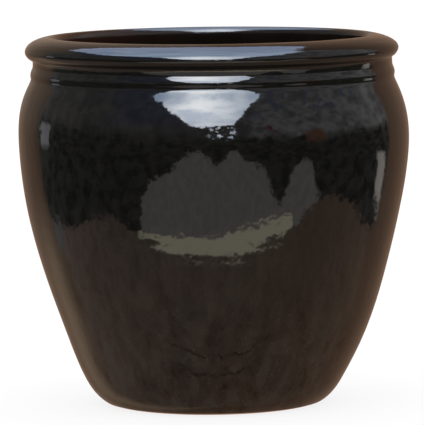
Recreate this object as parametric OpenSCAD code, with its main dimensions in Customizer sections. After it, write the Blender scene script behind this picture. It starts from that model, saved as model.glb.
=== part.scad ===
// Large round planter: a belly narrowing to a small foot, a raised neck band and a thick
// rolled rim, with a glassy coat fired on inside and out.
//
// The clay is built up as a potter builds it: a floor slab, three wall sections, the neck
// band and the rim, joined on bevelled seams, with a coil pressed into the inside corner.
// Every piece is a solid of revolution about the Z axis. The origin lies on that axis, in
// the plane that the foot stands on.

/* [Body] */
// Widest radius, measured over the glaze at the belly
belly_radius = 300; // [285:1:312]
// Height of the belly above the ground
belly_height = 413; // [395:1:430]
// Radius of the clay where the foot's rounded corner meets the wall
corner_radius = 194; // [186:1:204]
// Height where the foot's rounded corner meets the wall
corner_height = 34; // [30:1:44]
// Angle between the ground and the wall as it leaves the corner
wall_angle = 60; // [54:1:66]
// Thickness of the clay wall
wall_thickness = 16; // [12:1:24]

/* [Foot] */
// Outer radius of the flat ring that touches the ground
foot_radius = 152; // [146:1:162]
// Inner radius of that ring
foot_inner_radius = 128; // [110:1:140]
// Height of the shallow hollow inside the ring
foot_hollow = 5; // [2:0.5:8]
// Thickness of the clay floor over that hollow
floor_thickness = 20; // [16:1:24]
// Radius of the drain hole
drain_radius = 16; // [8:1:24]
// Reach of the coil in the inside corner, along the floor and up the wall
coil_reach = 28; // [16:1:36]

/* [Neck and rim] */
// Radius of the clay at the groove between shoulder and neck band
groove_radius = 277; // [272:0.5:281]
// Height of that groove
groove_height = 502; // [496:0.5:508]
// Angle between the ground and the shoulder as it reaches the groove
shoulder_angle = 68; // [60:1:76]
// How far the neck band swells out just above the groove
band_swell = 4; // [0:0.2:6]
// How far the neck band is drawn in just below the crease
band_draw = 4.4; // [0:0.2:5]
// Radius of the clay at the crease under the rim
crease_radius = 275.5; // [272:0.5:278]
// Height of that crease
crease_height = 531.5; // [528:0.5:534]
// Largest radius of the rim, measured over the glaze
rim_radius = 287; // [284:0.5:291]
// Height of the rim's largest radius
rim_height = 543; // [541:0.5:547]
// Radius of the rim's highest line
crest_radius = 247; // [243:0.5:254]
// Overall height, measured over the glaze
pot_height = 566.5; // [562:0.5:574]
// Radius of the mouth, measured over the glaze
mouth_radius = 240; // [231:0.5:241]

/* [Seams and glaze] */
// Height of the seam between the lower and the belly sections
lower_seam = 190; // [150:5:230]
// Height of the seam between the belly and the shoulder sections
upper_seam = 390; // [340:5:440]
// Rise of every bevelled seam, from the outside of the wall to the inside
seam_rise = 7; // [3:1:10]
// Thickness of the glaze
glaze_thickness = 1.2; // [0.8:0.1:2]
// Height above the ground where the outside glaze starts
glaze_line = 4; // [3:1:12]
// Bare clay left round the drain hole
drain_margin = 4; // [2:1:8]

/* [Hidden] */
$fn = 180;

clay_colour = "#8f5f45";
coil_colour = "#a06c50";
outer_glaze_colour = "#1b1512";
inner_glaze_colour = "#2c1a12";

// Lengths of the curve handles, which say how far each curve keeps its end's direction.
foot_ease = 13;
corner_ease = 24;
wall_reach = 95;
belly_reach_down = 105;
belly_reach_up = 52;
groove_ease = 17;
crease_ease = 5;
crease_ease_angle = 4;
rim_ease_down = 3.6;
rim_ease_up = 15.5;
crest_ease_out = 12;
crest_ease_in = 3.4;
lip_ease = 4.6;
throat_ease_low = 22;
throat_ease_high = 20;

// Height of the lip's inmost point below the crest
lip_drop = 9.5;

// Steps along each curve
short_steps = 6;
middle_steps = 10;
long_steps = 20;

// How far a cut runs on past the clay it goes through
cut_margin = 1;

floor_height = foot_hollow + floor_thickness;

corner = [corner_radius, corner_height];
belly = [belly_radius - glaze_thickness, belly_height];
groove = [groove_radius, groove_height];
crease = [crease_radius, crease_height];
nose = [rim_radius - glaze_thickness, rim_height];
crest = [crest_radius, pot_height - glaze_thickness];
lip = [mouth_radius + glaze_thickness, pot_height - lip_drop];

// ---- Curves, as lists of [radius, height] points ----

function polar(length, angle) = length * [cos(angle), sin(angle)];

function bezier(p, t) =
    let (s = 1 - t) s * s * s * p[0] + 3 * s * s * t * p[1] + 3 * s * t * t * p[2] + t * t * t * p[3];

function curve(p, steps) = [for (i = [0:steps]) bezier(p, i / steps)];

function tail(path) = [for (i = [1:len(path) - 1]) path[i]];

function reversed(path) = [for (i = [len(path) - 1:-1:0]) path[i]];

// Unit vector to the right of the path's direction at point i
function side(path, i) =
    let (
        along = path[min(i + 1, len(path) - 1)] - path[max(i - 1, 0)]
    ) [along.y, -along.x] / norm(along);

// The path moved sideways by a distance, to its right where the distance is positive
function moved(path, distance) =
    [for (i = [0:len(path) - 1]) path[i] + distance * side(path, i)];

// Point where a rising path crosses a height, between its points i and i + 1
function crossing(path, i, height) =
    path[i] + (height - path[i].y) / (path[i + 1].y - path[i].y) * (path[i + 1] - path[i]);

function point_at(path, height) =
    [for (i = [0:len(path) - 2])
        if (path[i].y <= height && height < path[i + 1].y) crossing(path, i, height)][0];

// The stretch of a rising path between two heights
function stretch(path, low, high) = concat(
    [point_at(path, low)],
    [for (p = path) if (p.y > low && p.y < high) p],
    [point_at(path, high)]
);

// ---- The clay's outside, from the foot up to the crest of the rim ----

foot_curve = curve([[foot_radius, 0], [foot_radius + foot_ease, 0],
                    corner - polar(corner_ease, wall_angle), corner], middle_steps);
wall_curve = curve([corner, corner + polar(wall_reach, wall_angle),
                    belly - [0, belly_reach_down], belly], long_steps);
shoulder_curve = curve([belly, belly + [0, belly_reach_up],
                        groove - polar(groove_ease, 180 - shoulder_angle), groove], middle_steps);
band_third = (crease - groove) / 3;
band_curve = curve([groove, groove + band_third + [band_swell, 0],
                    crease - band_third - [band_draw, 0], crease], short_steps);
rim_under_curve = curve([crease, crease + polar(crease_ease, crease_ease_angle),
                         nose - [0, rim_ease_down], nose], short_steps);
rim_top_curve = curve([nose, nose + [0, rim_ease_up], crest + [crest_ease_out, 0], crest],
                      middle_steps);

outside = concat(foot_curve, tail(wall_curve), tail(shoulder_curve), tail(band_curve),
                 tail(rim_under_curve), tail(rim_top_curve));

// ---- The clay's inside, from the floor up to the lip ----

side_curve = concat(wall_curve, tail(shoulder_curve));
side_inside = moved(side_curve, -wall_thickness);
side_start = side_inside[0];
side_bottom = [side_start.x - (side_start.y - floor_height) / tan(wall_angle), floor_height];
side_top = side_inside[len(side_inside) - 1];
throat_curve = curve([side_top, side_top + polar(throat_ease_low, 180 - shoulder_angle),
                      lip - [0, throat_ease_high], lip], middle_steps);
inside = concat([side_bottom], side_inside, tail(throat_curve));

lip_curve = curve([crest, crest - [crest_ease_in, 0], lip + [0, lip_ease], lip], short_steps);

// ---- The fillet that the corner coil leaves between floor and wall ----

coil_top = point_at(inside, floor_height + coil_reach);
coil_start = [side_bottom.x - coil_reach, floor_height];
coil_curve = curve([coil_start, coil_start + [coil_reach / 2, 0],
                    coil_top - polar(coil_reach / 2, wall_angle), coil_top], middle_steps);

// ---- The glazed surface, walked up the outside, over the rim and down to the drain hole ----

glazed_outside = concat([point_at(outside, glaze_line)],
                        [for (p = outside) if (p.y > glaze_line) p]);
glazed_inside = concat(lip_curve,
                       tail(reversed([for (p = inside) if (p.y > coil_top.y) p])),
                       reversed(coil_curve),
                       [[drain_radius + drain_margin, floor_height]]);
glazed_clay = concat(glazed_outside, tail(glazed_inside));
glaze_surface = moved(glazed_clay, glaze_thickness);
crest_index = len(glazed_outside) - 1;

// ---- Pieces ----

module turned(outline, shade) {
    color(shade) rotate_extrude() polygon(outline);
}

// A wall section between two seam heights, each measured on the outside
module wall_section(low, high, bottom_rise) {
    turned(concat(stretch(outside, low, high),
                  reversed(stretch(inside, low + bottom_rise, high + seam_rise))), clay_colour);
}

module base_slab() {
    hollow_edge = foot_inner_radius - foot_hollow;
    difference() {
        turned(concat([[0, foot_hollow], [hollow_edge, foot_hollow], [foot_inner_radius, 0]],
                      stretch(outside, 0, floor_height), [[0, floor_height]]), clay_colour);
        translate([0, 0, -cut_margin])
            cylinder(r = drain_radius, h = floor_height + 2 * cut_margin);
    }
}

module lower_wall() {
    wall_section(floor_height, lower_seam, 0);
}

module belly_wall() {
    wall_section(lower_seam, upper_seam, seam_rise);
}

module shoulder_wall() {
    wall_section(upper_seam, groove_height, seam_rise);
}

module neck_band() {
    wall_section(groove_height, crease_height, seam_rise);
}

module rim_roll() {
    throat_start = crease_height + seam_rise;
    turned(concat(rim_under_curve, tail(rim_top_curve), tail(lip_curve),
                  [for (p = reversed(throat_curve)) if (p.y > throat_start && p.y < lip.y) p],
                  [point_at(throat_curve, throat_start)]), clay_colour);
}

module corner_coil() {
    turned(concat(coil_curve, tail(reversed(stretch(inside, floor_height, coil_top.y)))),
           coil_colour);
}

// The coat of glaze between two points of the glazed surface, counted along it
module glaze_coat(first, last, shade) {
    turned(concat([for (i = [first:last]) glazed_clay[i]],
                  [for (i = [last:-1:first]) glaze_surface[i]]), shade);
}

module outer_glaze() {
    glaze_coat(0, crest_index, outer_glaze_colour);
}

module inner_glaze() {
    glaze_coat(crest_index, len(glazed_clay) - 1, inner_glaze_colour);
}

base_slab();
lower_wall();
belly_wall();
shoulder_wall();
neck_band();
rim_roll();
corner_coil();
outer_glaze();
inner_glaze();
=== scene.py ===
"""Looks of the glazed planter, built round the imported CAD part.

Every CAD node is a solid of revolution, so its outline is read back from its mesh, drawn as a
smooth curve and turned again with what a potter's hands and the kiln add: a body that drifts
off its axis, a soft step round the neck, ripples in the glaze and edges that it rounds.
Lengths are in metres and angles in degrees, except where a name says otherwise.
"""

import math

import bpy
import numpy as np
from mathutils import Matrix, Vector

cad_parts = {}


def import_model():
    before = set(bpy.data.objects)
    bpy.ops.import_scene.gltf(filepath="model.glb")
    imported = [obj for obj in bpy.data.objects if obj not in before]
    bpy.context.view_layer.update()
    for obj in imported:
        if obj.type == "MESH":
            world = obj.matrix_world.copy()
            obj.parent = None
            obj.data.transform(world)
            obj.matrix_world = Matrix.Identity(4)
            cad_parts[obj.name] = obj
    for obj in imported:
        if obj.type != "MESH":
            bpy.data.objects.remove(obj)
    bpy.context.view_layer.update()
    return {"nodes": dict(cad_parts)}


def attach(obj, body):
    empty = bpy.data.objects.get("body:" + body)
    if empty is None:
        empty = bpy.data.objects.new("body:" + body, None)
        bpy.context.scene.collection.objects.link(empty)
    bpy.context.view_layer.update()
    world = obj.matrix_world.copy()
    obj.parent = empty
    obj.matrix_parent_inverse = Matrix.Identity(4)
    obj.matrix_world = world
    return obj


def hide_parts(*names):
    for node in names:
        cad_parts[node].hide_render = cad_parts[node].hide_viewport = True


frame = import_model()

MM = 0.001

# ---- Shape ----

SEGMENTS = 384  # round each piece
GLAZE_STEP = 3.2 * MM  # between rings of the glaze's surface
BACK_STEP = 16 * MM  # between rings of hidden faces
FOOT_STEP = 3.5 * MM  # between rings of the bare base
WALL_STEP = 12 * MM  # between rings of the clay inside the glaze

READ_DECIMALS = 6  # of a metre, kept from the points of a CAD mesh
RING_TOLERANCE = 0.05 * MM  # rings of a CAD mesh that are nearer than this are one
CORNER_TURN = 25  # a sharper turn between two edges of an outline is a corner
LONG_EDGE_RATIO = 5  # a straight stretch is this many times longer than its neighbour

POOL_RADIUS = 1.5 * MM  # over which pooling glaze rounds a corner of its surface
CLAY_ROUNDING = 0.8 * MM  # the same for a corner of the clay
EASE_SAMPLES = 4  # steps along such a radius
EDGE_POINTS = 6  # points round the end of a coat of glaze
TRIM_RATIO = 1.2  # a trimmed path's next point is at least this many trims from the old start
NO_LENGTH = 1e-12  # stands in for a length of zero where it would be divided by

# How far the body stands off its axis, as (height, shift to the right)
DRIFT = [(0, -2.2 * MM), (40 * MM, -2.2 * MM), (100 * MM, 0.9 * MM), (200 * MM, 0.6 * MM),
         (300 * MM, -0.5 * MM), (413 * MM, 0.9 * MM), (480 * MM, -0.3 * MM), (525 * MM, 0),
         (545 * MM, -0.9 * MM), (600 * MM, -1.1 * MM)]
DRIFT_INNER = 60 * MM  # nearer the axis the shift fades, so the drain hole stays true
DRIFT_OUTER = 150 * MM
OVAL = 0.6 * MM  # how far the body is out of round
OVAL_TURN = 35

BODY_RADIUS = 300 * MM
RIM_LIFT = 3 * MM  # how far the roll's underside is pushed up on the right
RIM_LIFT_HEIGHT = 542 * MM
RIM_LIFT_REACH = 14 * MM

# Ripples in the glaze: height, length along the wall, and how many cells go round the pot
RIPPLES = [(0.16 * MM, 120 * MM, 14), (0.050 * MM, 30 * MM, 40)]
RIPPLE_FADE = 6 * MM  # over which they fade to a coat's ends, so that two coats meet
WAVE_GAIN = 2  # makes up for what blending takes off the height of random values
SPARE_ROWS = 5  # so that the blend's rows don't wrap round

# The potter's tool left a soft step round the neck band
STEP_HEIGHT = 518 * MM
STEP_REACH = 10.5 * MM
STEP_DEPTH = 1.9 * MM

# ---- Camera ----

CAMERA_DISTANCE = 6.700
CAMERA_HEIGHT = 0.930
CAMERA_AIM = Vector((-3.3 * MM, 0, 292.9 * MM))
CAMERA_ROLL_RAD = -0.011
LENS_MM = 370
SENSOR_MM = 36
CAMERA_REACH = 1000

# ---- Light ----

LIGHT = 1.04  # radiance of the plain white surroundings
FLOOR_HALF = 150
FLOOR_GLOW = 0.78  # share of the floor's light that comes through it from below
GLOW_STRENGTH = 1.12
FLOOR_PALE = ((0.94, 0.94, 0.94), (0.96, 0.96, 0.96))

# ---- The yard that the glaze mirrors ----
# Azimuth 0 is the side that the camera looks from, and azimuth 90 is to the image's right.

FULL_TURN = 360
HALF_TURN = 180
DEGREES = HALF_TURN / math.pi  # in a radian

# Lines across the yard, as (azimuth, elevation)
GROUND_EDGE = [(-180, -8), (-125, -15), (-115, -18), (-100, -20.5), (-70, -22), (-60, -25),
               (-50, -28.4), (-36, -31.3), (-22, -33.8), (0, -34.6), (17, -33.9), (29, -31.8),
               (42, -29.6), (52, -27.3), (66, -22.5), (75, -20), (110, -19.5), (125, -17),
               (180, -8)]
STRIP_TOP = [(-52, -28), (-40, -28.6), (-20, -30.6), (-3, -30.9), (12, -29.6), (30, -27.6),
             (45, -26), (53, -25.6)]
PAVING_TOP = [(-48, -25), (-44, -21), (-39, -17), (-32, -15), (-26, -14.5),
              (-20, -10), (-12, -5), (-6, -4.5), (-3, -9), (1, -12.5), (5, -10.5), (9, -5.5),
              (14, -4.2), (18, -10), (25, -12), (31, -15), (36, -21), (42, -23.5), (45, -20),
              (48, -14), (54, -10), (60, -11), (63, -18), (70, -22)]
SKYLINE = [(-180, 40), (-140, 40), (-128, 46), (-46, 46), (-35, 40), (-30, 35), (-25, 29),
           (-20, 25), (-16, 19), (-12, 14.5), (0, 15.5), (13, 17), (16, 22), (21, 31), (28, 39),
           (36, 44), (46, 46), (75, 58), (128, 62), (150, 56), (165, 42), (180, 40)]

# Patches of the yard: (low, high, softness) of the azimuth, or of the azimuth and elevation
SUNLIT_GROUND = (-148, -126, 10)
CLEAR_HILLS = (-62, -14, 12)
PAVING_SPREAD = (-47, 69, 1.5)
STRIP_SPREAD = (-51, 52, 1)
RED_FLOWERS = ((29, 39, 3), (6, 14, 2))
ORANGE_FLOWERS = ((56, 69, 3), (0, 8, 2))
POST = ((112, 121, 1), (-16, -7.5, 1))
POST_LEAN = 0.5  # degrees of azimuth for each degree of elevation
POST_SHIFT = 4.3  # of azimuth, which the lean takes off again near the post's top
WINDOW = ((-122, -112.5, 1), (-5.5, 3.5, 1.5))
SLAB = ((-122, -114, 1), (-20.5, -16.7, 1))
SKY_HOLES = ((-2, 13, 2), (4, 17, 2))

# The yard's colours, linear. Where there are two, a mask or a noise runs from one to the other
GROUND = ((0.34, 0.245, 0.195), (0.50, 0.37, 0.305))
GROUND_SMEARS = (0.24, 0.17, 0.13)
GROUND_RIGHT = (0.41, 0.27, 0.17)
GROUND_GRAIN = (0.25, 0.18, 0.14)
WALL = ((0.30, 0.195, 0.135), (0.36, 0.265, 0.20))
WALL_RIGHT = (0.31, 0.185, 0.12)
WALL_STREAKS = (0.24, 0.15, 0.11)
SUNLIT = (0.60, 0.43, 0.29)
HEDGE = ((0.03, 0.03, 0.027), (0.14, 0.138, 0.125))
HEDGE_GREEN = (0.12, 0.135, 0.07)
MIST = ((0.20, 0.195, 0.19), (0.33, 0.32, 0.31))
HILLS = ((0.15, 0.165, 0.26), (0.27, 0.29, 0.42))
STONES = ((0.30, 0.30, 0.315), (0.74, 0.735, 0.73))
STONES_BLUE = (0.30, 0.33, 0.50)
RED = (0.42, 0.09, 0.12)
ORANGE = (0.50, 0.23, 0.13)
POST_PALE = (1.25, 1.15, 1.05)
WINDOW_PALE = (0.80, 0.80, 0.86)
SLAB_GREY = (0.36, 0.37, 0.38)
PAVING = ((0.66, 0.61, 0.575), (0.82, 0.775, 0.73))
STRIP = (2.1, 1.95, 1.45)
SKY_BLUE = ((1.15, 1.4, 2.1), (3.4, 4.4, 6.2))
SKY_CLOUD = ((1.6, 1.85, 2.5), (4.7, 5.8, 7.6))
SKY_BRIGHT = ((10.5, 11.8, 13.6), (17.5, 18, 18.5))
BRIGHTEST = Vector((0, -0.866, 0.5))  # the direction that the sky brightens towards

# ---- Glaze and clay ----

THIN_FROM, THIN_AT = 0.30, 0.06  # heights between which the outer glaze thins downwards
FLASH_FROM, FLASH_AT = -0.10, -0.28  # how far to the left the inside turns red-brown

# The glaze's and the clay's colours, linear
GLAZE_BLACK = (0.0030, 0.0028, 0.0027)
GLAZE_LOW = (0.0052, 0.0038, 0.0030)
GLAZE_BROWN = (0.0090, 0.0052, 0.0035)
GLAZE_HAZE = (0.0150, 0.0125, 0.0100)
GLAZE_STAIN = (0.0040, 0.0016, 0.0012)
GLAZE_SCAR = (0.0010, 0.0008, 0.0008)
GLAZE_DOTS = (0.045, 0.036, 0.028)
INSIDE = ((0.010, 0.0078, 0.0062), (0.016, 0.0105, 0.0080))
INSIDE_FLASHED = (0.030, 0.0125, 0.0085)
CLAY = ((0.20, 0.085, 0.045), (0.36, 0.19, 0.11))
CLAY_GRIT = (0.09, 0.05, 0.035)

# Two broken lines low on the front, where runs of glaze stopped
SCAR_HEIGHTS = (67 * MM, 98 * MM)
SCAR_HALF_WIDTH = 4.5 * MM
SCAR_WANDER = 0.04
SCAR_RISE = 5.0  # metres of height for each square metre to the side
SCAR_END, SCAR_FULL = 0.085, 0.055  # distances to the side where they end and where they are whole
SCAR_FRONT = -0.05  # they are whole further forward than this

PEEL_DEPTH = 0.14 * MM  # of the outer glaze's surface
INSIDE_PEEL_DEPTH = 0.10 * MM
GRIT_DEPTH = 0.25 * MM
PLAIN_GLOSS = 0.5
SCAR_DULLING, STAIN_DULLING = 0.22, 0.18

SEED = 7
rng = np.random.default_rng(SEED)


# ---- Outlines, as arrays of [radius, height] points ----

def merged_rings(points):
    """The rings that a list of points lies on, and for each point the number of its ring.
    Points that nearly coincide are on one ring."""
    cells = np.round(points / RING_TOLERANCE).astype(int)
    firsts, numbers = [], []
    for i, cell in enumerate(cells):
        near = [k for k, first in enumerate(firsts) if np.abs(cells[first] - cell).max() <= 1]
        if not near:
            near = [len(firsts)]
            firsts.append(i)
        numbers.append(near[0])
    return points[firsts], np.array(numbers)


def outline_of(node):
    """A turned node's closed outline, in order, read from the rings of its mesh."""
    mesh = frame["nodes"][node].data
    places = np.array([v.co for v in mesh.vertices], float)
    points = np.column_stack([np.hypot(places[:, 0], places[:, 1]), places[:, 2]])
    _, first, of_each = np.unique(np.round(points, READ_DECIMALS), axis=0, return_index=True,
                                  return_inverse=True)
    rings, numbers = merged_rings(points[first])
    ring_of = numbers[of_each.ravel()]
    beside = [set() for _ in rings]
    for edge in mesh.edges:
        one, other = ring_of[list(edge.vertices)]
        if one != other:
            beside[one].add(other)
            beside[other].add(one)
    walk = [0]
    while len(walk) < len(rings):
        walk.append(min(beside[walk[-1]] - set(walk)))
    return rings[walk]


def smooth(share):
    """A share from 0 to 1, eased at both ends."""
    return share * share * (3 - 2 * share)


def lengths_along(path):
    """Distance along a path at each of its points."""
    return np.concatenate([[0], np.cumsum(np.linalg.norm(np.diff(path, axis=0), axis=1))])


def spline(places, values, at):
    """The natural cubic spline through values at places, taken at other places."""
    gaps = np.diff(places)
    slopes = (np.diff(values, axis=0).T / gaps).T
    count = len(places)
    system, right = np.eye(count), np.zeros_like(values, dtype=float)
    for i in range(1, count - 1):
        system[i, i - 1:i + 2] = gaps[i - 1], 2 * (gaps[i - 1] + gaps[i]), gaps[i]
        right[i] = 6 * (slopes[i] - slopes[i - 1])
    bend = np.linalg.solve(system, right)
    i = np.clip(np.searchsorted(places, at) - 1, 0, count - 2)
    gap, low, high = gaps[i], places[i + 1] - at, at - places[i]
    parts = ((low / gap, values[i]), (high / gap, values[i + 1]),
             ((low ** 3 / gap - low * gap) / 6, bend[i]),
             ((high ** 3 / gap - high * gap) / 6, bend[i + 1]))
    return sum((rows.T * weights).T for weights, rows in parts)


def corner_places(path):
    """Indices of the inner points of a path where it has a corner or a long straight edge."""
    edges = np.diff(path, axis=0)
    size = np.linalg.norm(edges, axis=1)
    cosine = (edges[1:] * edges[:-1]).sum(1) / (size[1:] * size[:-1])
    ratio = np.maximum(size[1:] / size[:-1], size[:-1] / size[1:])
    turns = np.degrees(np.arccos(np.clip(cosine, -1, 1)))
    return [i + 1 for i in np.where((turns > CORNER_TURN) | (ratio > LONG_EDGE_RATIO))[0]]


def drawn(path, step):
    """A path drawn as smooth curves between its corners, with points about a step apart."""
    stops = [0, *corner_places(path), len(path) - 1]
    made = [path[:1]]
    for start, end in zip(stops, stops[1:]):
        run = path[start:end + 1]
        along = lengths_along(run)
        count = max(1, round(along[-1] / step))
        made.append(spline(along, run, np.linspace(0, along[-1], count + 1)[1:]))
    return np.vstack(made)


def eased(path, radius, closed=False):
    """A path with its corners rounded over a radius. An open path keeps its ends."""
    if closed:
        path = np.vstack([path, path[:1]])
    along = lengths_along(path)
    even = np.linspace(0, along[-1], int(along[-1] / (radius / EASE_SAMPLES)) + 2)
    dense = np.column_stack([np.interp(even, along, path[:, k]) for k in range(2)])
    reach = 3 * EASE_SAMPLES
    kernel = np.exp(-0.5 * (np.arange(-reach, reach + 1) / EASE_SAMPLES) ** 2)
    kernel /= kernel.sum()
    if closed:
        padded = np.vstack([dense[-reach - 1:-1], dense, dense[1:reach + 1]])
    else:
        before = 2 * dense[0] - dense[reach:0:-1]
        after = 2 * dense[-1] - dense[-2:-reach - 2:-1]
        padded = np.vstack([before, dense, after])
    soft = np.column_stack([np.convolve(padded[:, k], kernel, "valid") for k in range(2)])
    made = np.column_stack([np.interp(along, even, soft[:, k]) for k in range(2)])
    return made[:-1] if closed else made


def coat_sides(node, outward):
    """The two long sides of a coat's outline, running the same way: the glaze's surface, and
    the clay under it. outward says whether the surface is the side further from the axis.
    The sides are parted by the coat's two ends, its outline's shortest edges."""
    outline = outline_of(node)
    sizes = np.linalg.norm(np.roll(outline, -1, axis=0) - outline, axis=1)
    first, second = sorted(np.argsort(sizes)[:2])
    around = np.roll(outline, -(first + 1), axis=0)
    count = second - first
    sides = sorted((around[:count], around[:count - 1:-1]), key=lambda side: side[:, 0].max())
    return (sides[1], sides[0]) if outward else (sides[0], sides[1])


# ---- Turned surfaces ----

def drifted(points):
    """Points of the true body moved to where the hand-made one has them."""
    heights, shifts = (np.array(column, float) for column in zip(*DRIFT))
    radius = np.hypot(points[..., 0], points[..., 1])
    angle = np.arctan2(points[..., 1], points[..., 0])
    share = smooth(np.clip((radius - DRIFT_INNER) / (DRIFT_OUTER - DRIFT_INNER), 0, 1))
    swell = OVAL * np.cos(2 * (angle - math.radians(OVAL_TURN))) * share
    moved = points * 1.0
    shift = spline(heights, shifts, points[..., 2].ravel()).reshape(radius.shape)
    moved[..., 0] += shift * share + swell * np.cos(angle)
    moved[..., 1] += swell * np.sin(angle)
    rightward = np.clip(points[..., 0] / BODY_RADIUS, 0, 1)
    near = np.exp(-((points[..., 2] - RIM_LIFT_HEIGHT) / RIM_LIFT_REACH) ** 2)
    moved[..., 2] += RIM_LIFT * near * rightward ** 2
    return moved


def side_of(path, closed=False):
    """Unit vectors to the right of a path's direction, at each of its points."""
    if closed:
        along = np.roll(path, -1, axis=0) - np.roll(path, 1, axis=0)
    else:
        along = np.gradient(path, axis=0)
    along = along / np.linalg.norm(along, axis=1)[:, None]
    return np.column_stack([along[:, 1], -along[:, 0]])


def turned(path, relief=0.0, closed=False):
    """A grid of points, rings by segments: the path turned round the axis, raised by the
    relief to the right of its direction."""
    side = side_of(path, closed)
    angle = np.arange(SEGMENTS) * (2 * math.pi / SEGMENTS)
    relief = np.broadcast_to(relief, (len(path), SEGMENTS))
    radius = path[:, :1] + relief * side[:, :1]
    height = path[:, 1:] + relief * side[:, 1:]
    grid = np.stack([radius * np.cos(angle), radius * np.sin(angle), height], axis=-1)
    return drifted(grid)


def grid_normals(grid):
    """Unit normals of an open grid, outward where its rings run up the outside."""
    along = np.gradient(grid, axis=0)
    around = np.roll(grid, -1, axis=1) - np.roll(grid, 1, axis=1)
    normals = np.cross(around, along)
    return normals / np.maximum(np.linalg.norm(normals, axis=-1, keepdims=True), NO_LENGTH)


def ring_mesh(name, grid):
    """A closed solid from a grid whose rings go all the way round its outline."""
    rings = len(grid)
    ring, segment = np.meshgrid(np.arange(rings), np.arange(SEGMENTS), indexing="ij")
    following, across = (ring + 1) % rings, (segment + 1) % SEGMENTS
    quads = np.stack([ring * SEGMENTS + segment, ring * SEGMENTS + across,
                      following * SEGMENTS + across, following * SEGMENTS + segment], axis=-1)
    mesh = bpy.data.meshes.new(name)
    mesh.from_pydata(grid.reshape(-1, 3).tolist(), [], quads.reshape(-1, 4).tolist())
    mesh.polygons.foreach_set("use_smooth", [True] * len(mesh.polygons))
    piece = bpy.data.objects.new(name, mesh)
    bpy.context.scene.collection.objects.link(piece)
    return piece


def spline_weights(places, count):
    """Weights that blend a ring of count values smoothly at each place among them."""
    start = np.floor(places).astype(int)
    t = places - start
    terms = ((1 - t) ** 3, 3 * t ** 3 - 6 * t ** 2 + 4, -3 * t ** 3 + 3 * t ** 2 + 3 * t + 1,
             t ** 3)
    weights = np.zeros((len(places), count))
    for step, term in enumerate(terms):
        weights[np.arange(len(places)), (start + step) % count] += term / 6
    return weights


def waves(along, cell, cells_round):
    """Smooth random heights of about unit size, rings by segments."""
    rows = int(along[-1] / cell) + SPARE_ROWS
    heights = rng.standard_normal((rows, cells_round)) * WAVE_GAIN
    up = spline_weights(along / cell, rows)
    around = spline_weights(np.arange(SEGMENTS) * (cells_round / SEGMENTS), cells_round)
    return up @ heights @ around.T


def place(piece, material, slot, *nodes):
    """Rides a piece on the pot's one body, in place of its CAD nodes."""
    piece.data.materials.append(material)
    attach(piece, "root")
    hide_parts(*nodes)


# ---- The coats of glaze ----

def rounded_start(clay, surface):
    """Points of a quarter circle from a coat's clay side to its surface, at its first end."""
    normal = surface[0] - clay[0]
    thickness = np.linalg.norm(normal)
    along = surface[1] - surface[0]
    along = along / np.linalg.norm(along) * thickness
    angles = np.radians(np.linspace(0, 90, EDGE_POINTS))[:, None]
    return clay[0] + normal * np.sin(angles) + along * (1 - np.cos(angles))


def trimmed(path, length):
    """A path without the first stretch of a given length."""
    along = lengths_along(path)
    start = np.array([[np.interp(length, along, path[:, k]) for k in range(2)]])
    return np.vstack([start, path[along > length * TRIM_RATIO]])


def glazed_path():
    """The glaze's surface, up the outside, over the crest and down to the drain hole, and the
    clay under the outer and under the inner coat, running the same way."""
    outer_surface, outer_clay = coat_sides("outer_glaze", outward=True)
    inner_surface, inner_clay = coat_sides("inner_glaze", outward=False)
    if outer_surface[0, 1] > outer_surface[-1, 1]:
        outer_surface, outer_clay = outer_surface[::-1], outer_clay[::-1]
    if inner_surface[0, 1] < inner_surface[-1, 1]:
        inner_surface, inner_clay = inner_surface[::-1], inner_clay[::-1]
    outer, inner = drawn(outer_surface, GLAZE_STEP), drawn(inner_surface, GLAZE_STEP)
    path = eased(np.vstack([outer, inner[1:]]), POOL_RADIUS)
    thickness = np.linalg.norm(outer_surface[0] - outer_clay[0])
    foot_edge = rounded_start(outer_clay, path)
    drain_edge = rounded_start(inner_clay[::-1], path[::-1])[::-1]
    middle = trimmed(trimmed(path, thickness)[::-1], thickness)[::-1]
    return np.vstack([foot_edge[:-1], middle, drain_edge[1:]]), outer_clay, inner_clay


def glaze_relief(path, crest):
    """How far the glaze stands off a true surface, rings by segments: its ripples, and the step
    round the neck band."""
    along = lengths_along(path)
    relief = sum(height * waves(along, cell, cells) for height, cell, cells in RIPPLES)
    from_ends = np.minimum(np.minimum(along, along[-1] - along), np.abs(along - along[crest]))
    relief = relief * smooth(np.clip(from_ends / RIPPLE_FADE, 0, 1))[:, None]
    from_step = (path[:crest + 1, 1] - STEP_HEIGHT) / STEP_REACH
    relief[:crest + 1] -= (STEP_DEPTH * from_step * np.exp(-from_step ** 2))[:, None]
    return relief


def glaze_pieces():
    """The outer and the inner coat, as two closed solids that share the ring at the crest."""
    path, outer_clay, inner_clay = glazed_path()
    crest = int(np.argmax(path[:, 1]))
    grid = turned(path, glaze_relief(path, crest))
    normals = grid_normals(grid)
    pieces = []
    for name, front, clay in (("outer_glaze_coat", slice(0, crest + 1), outer_clay),
                              ("inner_glaze_coat", slice(crest, None), inner_clay)):
        back = turned(drawn(clay, BACK_STEP)[::-1])
        # The ring where an end's rounding meets the clay is the front's own
        back = back[1:] if front.start else back[:-1]
        back_normals = -grid_normals(back[::-1])[::-1]
        piece = ring_mesh(name, np.vstack([grid[front], back]))
        every = np.vstack([normals[front], back_normals]).reshape(-1, 3)
        piece.data.normals_split_custom_set_from_vertices(every.tolist())
        pieces.append(piece)
    return pieces


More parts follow.
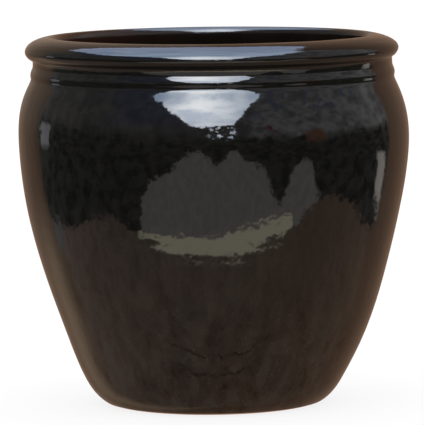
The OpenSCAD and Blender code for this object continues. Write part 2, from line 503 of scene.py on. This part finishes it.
def clay_piece(node, step, rounding):
    """A clay node drawn smooth and drifted as the whole body is."""
    outline = outline_of(node)
    corners = corner_places(np.vstack([outline, outline[:2]]))
    outline = np.roll(outline, -(corners[0] % len(outline)), axis=0)
    path = drawn(np.vstack([outline, outline[:1]]), step)[:-1]
    following = np.roll(path, -1, axis=0)
    if np.sum(path[:, 0] * following[:, 1] - following[:, 0] * path[:, 1]) < 0:
        path = path[::-1]
    return ring_mesh(node + "_clay", turned(eased(path, rounding, closed=True), closed=True))


# ---- Node trees ----

class Nodes:
    """Adds linked nodes to a tree. An input may be a number, a colour or another's output."""

    def __init__(self, tree):
        self.tree = tree
        tree.nodes.clear()

    def add(self, kind, inputs=None, **settings):
        node = self.tree.nodes.new(kind)
        for name, value in settings.items():
            setattr(node, name, value)
        for name, value in (inputs or {}).items():
            self.feed(node.inputs[name], value)
        return node

    def feed(self, socket, value):
        if isinstance(value, bpy.types.NodeSocket):
            self.tree.links.new(value, socket)
        elif isinstance(value, tuple) and len(value) == 3 and socket.type == "RGBA":
            socket.default_value = (*value, 1)
        else:
            socket.default_value = value

    def math(self, operation, *values):
        return self.add("ShaderNodeMath", dict(enumerate(values)), operation=operation).outputs[0]

    def total(self, first, *others):
        """The sum of several values."""
        for value in others:
            first = self.math("ADD", first, value)
        return first

    def product(self, first, *others):
        """The product of several values."""
        for value in others:
            first = self.math("MULTIPLY", first, value)
        return first

    def swing(self, noise, size):
        """A noise about 0.5 turned into a shift of up to about half the size either way."""
        return self.product(self.math("SUBTRACT", noise, 0.5), size)

    def scaled(self, vector, scale):
        """The vector with each part multiplied by scale's."""
        return self.add("ShaderNodeVectorMath", {0: vector, 1: scale},
                        operation="MULTIPLY").outputs[0]

    def noise(self, vector, scale, detail=2, roughness=0.5):
        """Noise about 0.5."""
        node = self.add("ShaderNodeTexNoise",
                        {"Vector": vector, "Scale": scale, "Detail": detail,
                         "Roughness": roughness})
        return node.outputs["Fac"]

    def step(self, value, low, high, to_low=0.0, to_high=1.0):
        """A smooth step from to_low where value is low to to_high where it is high."""
        node = self.add("ShaderNodeMapRange", {"Value": value, "From Min": low, "From Max": high,
                                               "To Min": to_low, "To Max": to_high},
                        interpolation_type="SMOOTHSTEP")
        return node.outputs["Result"]

    def mix(self, share, low, high):
        """A colour between low and high."""
        node = self.add("ShaderNodeMix", {"Factor": share}, data_type="RGBA")
        colours = [s for s in node.inputs if s.type == "RGBA"]
        self.feed(colours[0], low)
        self.feed(colours[1], high)
        return [s for s in node.outputs if s.type == "RGBA"][0]


def new_material(name):
    material = bpy.data.materials.new(name)
    material.use_nodes = True
    return material, Nodes(material.node_tree)


def finish_material(nodes, colour, roughness, bump, bump_depth, gloss=PLAIN_GLOSS):
    """A Principled surface whose bump is a height from 0 to 1 over bump_depth."""
    relief = nodes.add("ShaderNodeBump", {"Height": bump, "Strength": 1.0,
                                          "Distance": bump_depth})
    surface = nodes.add("ShaderNodeBsdfPrincipled",
                        {"Base Color": colour, "Roughness": roughness,
                         "Specular IOR Level": gloss, "Normal": relief.outputs["Normal"]})
    nodes.add("ShaderNodeOutputMaterial", {"Surface": surface.outputs[0]})


def scar_lines(nodes, place_on, runs, damp):
    """Where two broken lines run across the front, lowest in the middle."""
    parts = nodes.add("ShaderNodeSeparateXYZ", {"Vector": place_on}).outputs
    level = nodes.total(parts["Z"], nodes.swing(runs, SCAR_WANDER),
                        nodes.product(parts["X"], parts["X"], -SCAR_RISE))
    lines = nodes.math("MAXIMUM", *(
        nodes.step(nodes.math("ABSOLUTE", nodes.math("SUBTRACT", level, height)),
                   SCAR_HALF_WIDTH, 0) for height in SCAR_HEIGHTS))
    aside = nodes.math("ABSOLUTE", parts["X"])
    return nodes.product(lines, nodes.step(aside, SCAR_END, SCAR_FULL),
                         nodes.step(parts["Y"], 0, SCAR_FRONT), nodes.step(damp, 0.38, 0.54))


def outer_glaze_material():
    """Near-black brown mirror glaze. Towards the foot it is thinner, browner and hazed by damp,
    with two broken dark lines where runs of glaze stopped."""
    material, nodes = new_material("outer_glaze")
    place_on = nodes.add("ShaderNodeTexCoord").outputs["Object"]
    height = nodes.add("ShaderNodeSeparateXYZ", {"Vector": place_on}).outputs["Z"]
    low = nodes.step(height, THIN_FROM, THIN_AT)
    runs = nodes.noise(nodes.scaled(place_on, (1, 1, 0.16)), scale=42, detail=4, roughness=0.6)
    blotches = nodes.noise(place_on, scale=16, detail=3, roughness=0.6)
    damp = nodes.noise(nodes.scaled(place_on, (1, 1, 0.5)), scale=36, detail=5, roughness=0.65)
    specks = nodes.noise(place_on, scale=420, detail=1, roughness=0.5)
    peel = nodes.noise(place_on, scale=80, detail=1, roughness=0.4)

    brown = nodes.product(low, nodes.step(nodes.total(runs, blotches), 0.75, 1.2))
    haze = nodes.product(low, nodes.step(damp, 0.48, 0.62))
    stains = nodes.product(low, nodes.step(damp, 0.46, 0.34))
    scars = scar_lines(nodes, place_on, runs, damp)
    dots = nodes.product(low, nodes.step(specks, 0.70, 0.74))
    colour = nodes.mix(nodes.product(low, 0.6), GLAZE_BLACK, GLAZE_LOW)
    colour = nodes.mix(brown, colour, GLAZE_BROWN)
    colour = nodes.mix(nodes.product(haze, 0.7), colour, GLAZE_HAZE)
    colour = nodes.mix(nodes.product(stains, 0.8), colour, GLAZE_STAIN)
    colour = nodes.mix(nodes.product(scars, 0.7), colour, GLAZE_SCAR)
    colour = nodes.mix(dots, colour, GLAZE_DOTS)

    roughness = nodes.total(nodes.step(low, 0, 1, 0.03, 0.10), nodes.product(blotches, 0.04),
                            nodes.product(haze, 0.05))
    gloss = nodes.total(PLAIN_GLOSS, nodes.product(scars, -SCAR_DULLING),
                        nodes.product(stains, -STAIN_DULLING))
    finish_material(nodes, colour, roughness, peel, PEEL_DEPTH, gloss)
    return material


def inner_glaze_material():
    """Near-black glaze, flashed red-brown on the side that the flame reached."""
    material, nodes = new_material("inner_glaze")
    place_on = nodes.add("ShaderNodeTexCoord").outputs["Object"]
    blotches = nodes.noise(place_on, scale=18, detail=4, roughness=0.6)
    side = nodes.add("ShaderNodeSeparateXYZ", {"Vector": place_on}).outputs["X"]
    flashed = nodes.step(nodes.total(side, nodes.product(blotches, -0.12)), FLASH_FROM, FLASH_AT)
    colour = nodes.mix(nodes.step(blotches, 0.35, 0.7), *INSIDE)
    colour = nodes.mix(flashed, colour, INSIDE_FLASHED)
    roughness = nodes.step(blotches, 0.2, 0.8, 0.06, 0.2)
    peel = nodes.noise(nodes.scaled(place_on, (1, 1, 2)), scale=90, detail=3, roughness=0.5)
    finish_material(nodes, colour, roughness, peel, INSIDE_PEEL_DEPTH)
    return material


def clay_material():
    """Gritty red-brown stoneware."""
    material, nodes = new_material("stoneware_clay")
    place_on = nodes.add("ShaderNodeTexCoord").outputs["Object"]
    cloud = nodes.noise(place_on, scale=14, detail=5, roughness=0.6)
    grit = nodes.noise(place_on, scale=900, detail=2, roughness=0.7)
    colour = nodes.mix(nodes.step(grit, 0.62, 0.72), nodes.mix(cloud, *CLAY), CLAY_GRIT)
    roughness = nodes.step(grit, 0.3, 0.7, 0.75, 0.95)
    finish_material(nodes, colour, roughness, nodes.total(grit, cloud), GRIT_DEPTH)
    return material


# ---- The yard that the glaze mirrors ----

class Yard(Nodes):
    """A world's nodes, with a ray's azimuth and elevation and noises over its direction."""

    def __init__(self, tree):
        super().__init__(tree)
        self.direction = self.add("ShaderNodeTexCoord").outputs["Generated"]
        parts = self.add("ShaderNodeSeparateXYZ", {"Vector": self.direction}).outputs
        around = self.math("ARCTAN2", parts["X"], self.product(parts["Y"], -1))
        self.azimuth = self.product(around, DEGREES)
        self.elevation = self.product(self.math("ARCSINE", parts["Z"]), DEGREES)
        self.from_front = self.math("ABSOLUTE", self.azimuth)
        self.coarse = self.noise(self.direction, scale=8, detail=3, roughness=0.55)
        self.fine = self.noise(self.direction, scale=22, detail=3, roughness=0.6)
        self.leaves = self.noise(self.direction, scale=55, detail=2, roughness=0.6)
        self.upright = self.stretched(0.3, scale=11, detail=4, roughness=0.6)
        self.rough = self.total(self.elevation, self.swing(self.fine, 2.5),
                                self.swing(self.leaves, 1.5))
        self.ragged = self.total(self.elevation, self.swing(self.fine, 7),
                                 self.swing(self.leaves, 6))

    def stretched(self, upwards, **settings):
        """A noise with its pattern squeezed upwards so many times. Below 1, it is drawn out."""
        return self.noise(self.scaled(self.direction, (1, 1, upwards)), **settings)

    def profile(self, line):
        """The elevation of a line of (azimuth, elevation) points, at the ray's azimuth."""
        place = self.total(self.math("DIVIDE", self.azimuth, FULL_TURN), 0.5)
        node = self.add("ShaderNodeFloatCurve", {"Value": place})
        points = node.mapping.curves[0].points
        for i, (across, up) in enumerate(line):
            at = (across / FULL_TURN + 0.5, up / HALF_TURN + 0.5)
            point = points[i] if i < 2 else points.new(*at)  # a new curve has two points
            point.location = at
            point.handle_type = "VECTOR"
        node.mapping.update()
        return self.product(self.math("SUBTRACT", node.outputs["Value"], 0.5), HALF_TURN)

    def above(self, value, edge, softness=0.35):
        """Where a value is over an edge, both in degrees."""
        return self.step(self.math("SUBTRACT", value, edge), -softness, softness)

    def between(self, value, low, high, softness):
        """Where a value lies between two, fading over the softness."""
        return self.product(self.step(value, low - softness, low + softness),
                            self.step(value, high + softness, high - softness))

    def patch(self, spread, azimuth=None, elevation=None):
        """Where the azimuth and the elevation, or bent ones given instead, are in a patch."""
        azimuth = self.azimuth if azimuth is None else azimuth
        elevation = self.elevation if elevation is None else elevation
        return self.product(self.between(azimuth, *spread[0]), self.between(elevation, *spread[1]))


def ground_and_wall(yard):
    """Brown ground round the pot, sunlit at one end, and a brown wall behind the pot."""
    smears = yard.stretched(2.5, scale=5, detail=4, roughness=0.6)
    grain = yard.stretched(2.2, scale=22, detail=4, roughness=0.65)
    ground = yard.mix(yard.step(yard.elevation, -64, -30), *GROUND)
    ground = yard.mix(yard.product(yard.step(smears, 0.48, 0.66), 0.55), ground, GROUND_SMEARS)
    ground = yard.mix(yard.product(yard.step(yard.azimuth, 0, 70), 0.7), ground, GROUND_RIGHT)
    ground = yard.mix(yard.product(yard.step(grain, 0.46, 0.62), 0.5), ground, GROUND_GRAIN)
    wall = yard.mix(yard.step(yard.elevation, -6, 4), *WALL)
    wall = yard.mix(yard.product(yard.step(yard.azimuth, 0, 90), 0.7), wall, WALL_RIGHT)
    wall = yard.mix(yard.product(yard.step(yard.upright, 0.45, 0.65), 0.4), wall, WALL_STREAKS)
    colour = yard.mix(yard.step(yard.from_front, 114, 127), ground, wall)
    sunlit = yard.product(yard.between(yard.azimuth, *SUNLIT_GROUND),
                          yard.step(yard.elevation, -10, -20))
    return yard.mix(sunlit, colour, SUNLIT)


def hedge_and_heights(yard):
    """Dark planting with a few flowers. Hills stand over it to the left, in mist but for their
    middle and top, and pale stonework to the right."""
    bushes = yard.stretched(2.2, scale=11, detail=4, roughness=0.65)
    hedge = yard.mix(yard.step(bushes, 0.36, 0.64), *HEDGE)
    greenery = yard.product(yard.step(yard.fine, 0.52, 0.62), yard.step(yard.azimuth, -20, -50),
                            0.55)
    hedge = yard.mix(greenery, hedge, HEDGE_GREEN)

    mist = yard.mix(yard.step(yard.upright, 0.35, 0.65), *MIST)
    hills = yard.mix(yard.step(yard.upright, 0.3, 0.7), *HILLS)
    clear = yard.total(yard.product(yard.between(yard.azimuth, *CLEAR_HILLS),
                                    yard.step(yard.elevation, 8, 22)),
                       yard.step(yard.elevation, 30, 46))
    hills = yard.mix(clear, mist, hills)
    leftward = yard.mix(yard.step(yard.total(yard.elevation, yard.swing(yard.coarse, 20)), -3, 12),
                        hedge, hills)

    stonework = yard.stretched(1.2, scale=7, detail=4, roughness=0.6)
    stones = yard.mix(yard.step(stonework, 0.34, 0.66), *STONES)
    shaded = yard.product(yard.step(yard.coarse, 0.54, 0.60), yard.step(yard.elevation, 18, 30))
    stones = yard.mix(shaded, stones, STONES_BLUE)
    rightward = yard.mix(yard.step(yard.total(yard.elevation, yard.swing(yard.coarse, 16)), 0, 8),
                         hedge, stones)

    planting = yard.mix(yard.step(yard.total(yard.azimuth, yard.swing(yard.upright, 16)), 17, 25),
                        leftward, rightward)
    red = yard.product(yard.patch(RED_FLOWERS), yard.step(yard.fine, 0.5, 0.56))
    planting = yard.mix(red, planting, RED)
    orange = yard.product(yard.patch(ORANGE_FLOWERS), yard.step(yard.fine, 0.36, 0.44))
    return yard.mix(orange, planting, ORANGE)


def with_glints(yard, colour):
    """Three pale things at the yard's two ends: a leaning post, a window and a slab."""
    leaning = yard.total(yard.azimuth, yard.product(yard.elevation, POST_LEAN),
                         yard.swing(yard.leaves, 6), POST_SHIFT)
    torn = yard.total(yard.azimuth, yard.swing(yard.fine, 12))
    colour = yard.mix(yard.patch(POST, azimuth=leaning), colour, POST_PALE)
    colour = yard.mix(yard.patch(WINDOW, azimuth=torn), colour, WINDOW_PALE)
    return yard.mix(yard.patch(SLAB, azimuth=torn, elevation=yard.ragged), colour, SLAB_GREY)


def with_paving(yard, colour, edge):
    """Pale paving in front, broken by plants, with a sunlit strip along its near edge."""
    broken = yard.total(yard.azimuth, yard.swing(yard.leaves, 9))
    paving = yard.product(yard.above(yard.profile(PAVING_TOP), yard.ragged, 0.6),
                          yard.above(yard.elevation, edge), yard.between(broken, *PAVING_SPREAD))
    colour = yard.mix(paving, colour, yard.mix(yard.step(yard.fine, 0.3, 0.7), *PAVING))
    strip = yard.product(yard.above(yard.profile(STRIP_TOP), yard.rough),
                         yard.above(yard.rough, edge), yard.between(yard.azimuth, *STRIP_SPREAD))
    return yard.mix(strip, colour, STRIP)


def with_sky(yard, colour):
    """Sky over everything, brightest low in front, and seen through holes in the planting."""
    towards = yard.add("ShaderNodeVectorMath", {0: yard.direction, 1: BRIGHTEST},
                       operation="DOT_PRODUCT").outputs["Value"]
    clouds = yard.stretched(2, scale=3.2, detail=5, roughness=0.6)
    facing = yard.step(towards, -0.3, 0.8)
    sky = yard.mix(yard.step(clouds, 0.38, 0.62), yard.mix(facing, *SKY_BLUE),
                   yard.mix(facing, *SKY_CLOUD))
    glow = yard.product(yard.math("POWER", yard.step(towards, 0.80, 1.0), 1.3),
                        yard.step(yard.azimuth, -14, 30, 1, 0.4),
                        yard.step(yard.elevation, 12, 36, 0.72, 1))
    sky = yard.mix(glow, sky, yard.mix(yard.step(clouds, 0.36, 0.66), *SKY_BRIGHT))
    torn = yard.total(yard.swing(yard.fine, 5), yard.swing(yard.leaves, 4),
                      yard.product(yard.swing(yard.coarse, 9), yard.step(yard.elevation, 30, 46)))
    open_sky = yard.above(yard.total(yard.elevation, torn), yard.profile(SKYLINE), 0.6)
    holes = yard.product(yard.patch(SKY_HOLES), yard.step(yard.fine, 0.56, 0.60))
    return yard.mix(yard.math("MAXIMUM", open_sky, holes), colour, sky)


def world():
    """Plain white light, and for mirrored rays an open yard under a cloudy sky."""
    made = bpy.data.worlds.new("studio")
    bpy.context.scene.world = made
    made.use_nodes = True
    made.cycles.sampling_method = "NONE"
    yard = Yard(made.node_tree)
    edge = yard.profile(GROUND_EDGE)
    outdoors = yard.product(yard.above(yard.rough, edge), yard.step(yard.from_front, 128, 122))
    colour = yard.mix(outdoors, ground_and_wall(yard), hedge_and_heights(yard))
    colour = with_glints(yard, colour)
    colour = with_paving(yard, colour, edge)
    colour = with_sky(yard, colour)
    light_path = yard.add("ShaderNodeLightPath")
    seen = yard.mix(light_path.outputs["Is Glossy Ray"], (1, 1, 1), colour)
    background = yard.add("ShaderNodeBackground", {"Color": seen, "Strength": LIGHT})
    yard.add("ShaderNodeOutputWorld", {"Surface": background.outputs[0]})


# ---- The stage ----

def floor():
    """A large pale floor that the glaze doesn't mirror."""
    mesh = bpy.data.meshes.new("floor")
    corners = [(-1, -1), (1, -1), (1, 1), (-1, 1)]
    mesh.from_pydata([(x * FLOOR_HALF, y * FLOOR_HALF, 0) for x, y in corners],
                     [], [(0, 1, 2, 3)])
    made = bpy.data.objects.new("floor", mesh)
    bpy.context.scene.collection.objects.link(made)
    material, nodes = new_material("pale_floor")
    place_on = nodes.add("ShaderNodeTexCoord").outputs["Object"]
    cloud = nodes.noise(place_on, scale=2, detail=3)
    colour = nodes.mix(cloud, *FLOOR_PALE)
    matte = nodes.add("ShaderNodeBsdfDiffuse", {"Color": colour})
    glow = nodes.add("ShaderNodeEmission", {"Color": colour, "Strength": GLOW_STRENGTH})
    surface = nodes.add("ShaderNodeMixShader", {"Fac": FLOOR_GLOW, 1: matte.outputs[0],
                                                2: glow.outputs[0]})
    nodes.add("ShaderNodeOutputMaterial", {"Surface": surface.outputs[0]})
    mesh.materials.append(material)
    made.visible_glossy = False


def camera():
    """A long lens from a little above the rim, as the photograph was taken."""
    data = bpy.data.cameras.new("camera")
    data.lens = LENS_MM
    data.sensor_width = SENSOR_MM
    data.clip_end = CAMERA_REACH
    made = bpy.data.objects.new("camera", data)
    bpy.context.scene.collection.objects.link(made)
    made.location = (CAMERA_AIM.x, -CAMERA_DISTANCE, CAMERA_HEIGHT)
    look = (CAMERA_AIM - made.location).to_track_quat("-Z", "Y").to_matrix()
    made.rotation_euler = (look @ Matrix.Rotation(CAMERA_ROLL_RAD, 3, "Z")).to_euler()
    bpy.context.scene.camera = made


camera()
world()
floor()
bpy.context.scene.view_settings.view_transform = "Standard"
bpy.context.scene.cycles.caustics_reflective = False
bpy.context.scene.cycles.caustics_refractive = False

outer_coat, inner_coat = glaze_pieces()
place(outer_coat, outer_glaze_material(), "outer_glaze", "outer_glaze")
place(inner_coat, inner_glaze_material(), "inner_glaze", "inner_glaze")
clay = clay_material()
place(clay_piece("base_slab", FOOT_STEP, CLAY_ROUNDING), clay, "clay", "base_slab")
for node in ("lower_wall", "belly_wall", "shoulder_wall", "neck_band", "rim_roll", "corner_coil"):
    place(clay_piece(node, WALL_STEP, CLAY_ROUNDING), clay, "clay", node)
